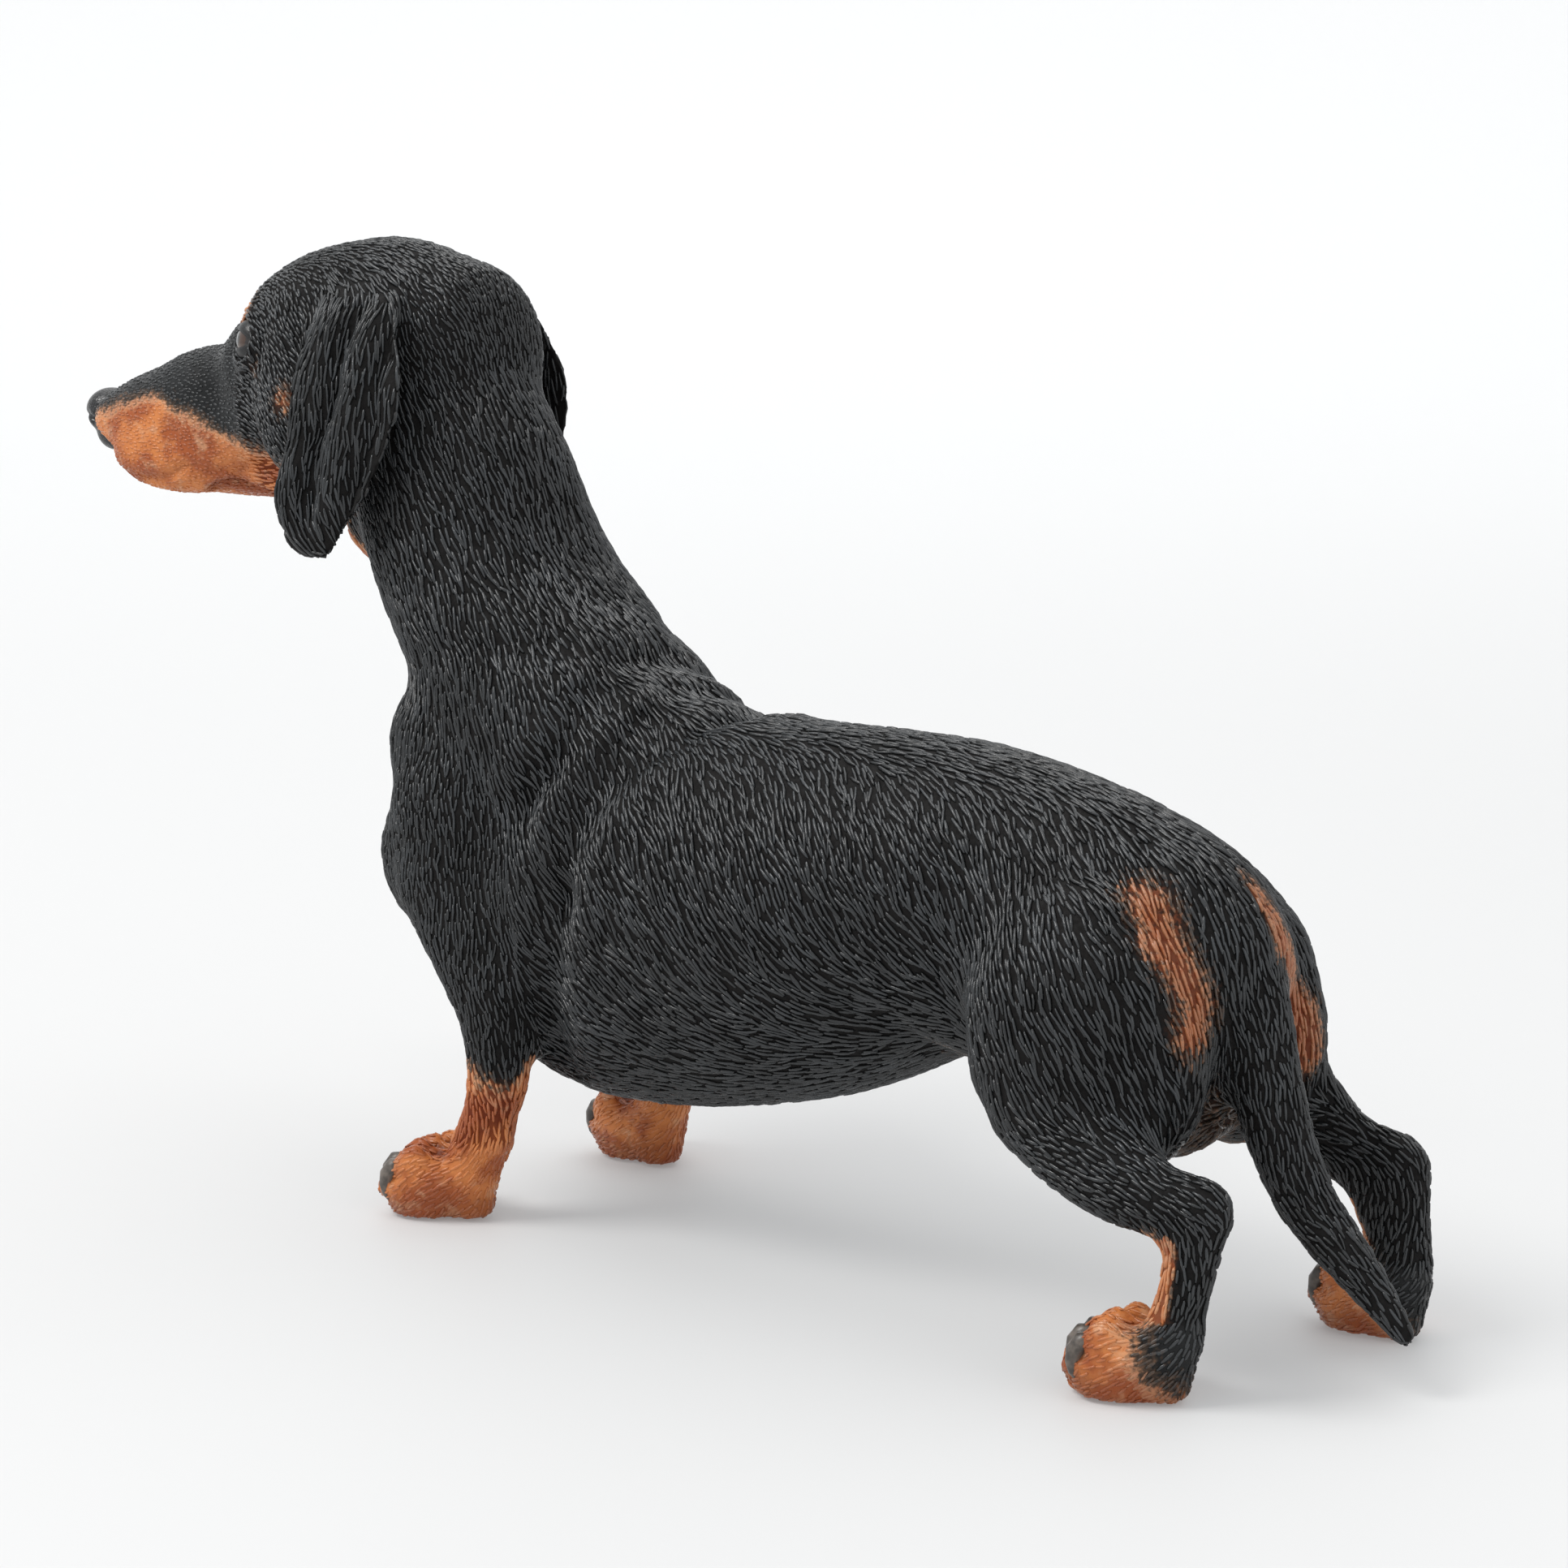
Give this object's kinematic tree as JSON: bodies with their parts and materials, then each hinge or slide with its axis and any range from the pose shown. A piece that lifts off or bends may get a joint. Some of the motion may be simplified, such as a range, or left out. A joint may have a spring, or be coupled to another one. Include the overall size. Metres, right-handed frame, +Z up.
{
  "type": "dachshund figurine",
  "caption": "Cast resin figurine of a standing smooth-haired dachshund, black and tan, with a long low body, hanging ears and a tail let down behind.",
  "frame": {"origin": "middle of the footprint box, on the floor the paws stand on", "axes": "+X the way the dog faces, +Y its left, +Z up"},
  "size_m": [0.1348, 0.0328, 0.0767],
  "materials": {
    "coat": "satin charcoal paint over carved hair",
    "tan": "satin orange-brown paint",
    "nose": "gloss black paint",
    "eye": "gloss dark brown paint"
  },
  "bodies": {
    "root": {"torso": "coat", "neck": "coat", "head": "coat", "lower_jaw": "tan", "nose": "nose", "eye_left": "eye", "eye_right": "eye", "ear_left": "coat", "ear_right": "coat", "tail": "coat", "foreleg_left": "coat", "foreleg_right": "coat", "forepaw_left": "tan", "forepaw_right": "tan", "hindleg_left": "coat", "hindleg_right": "coat", "hindpaw_left": "tan", "hindpaw_right": "tan"}
  },
  "joints": []
}
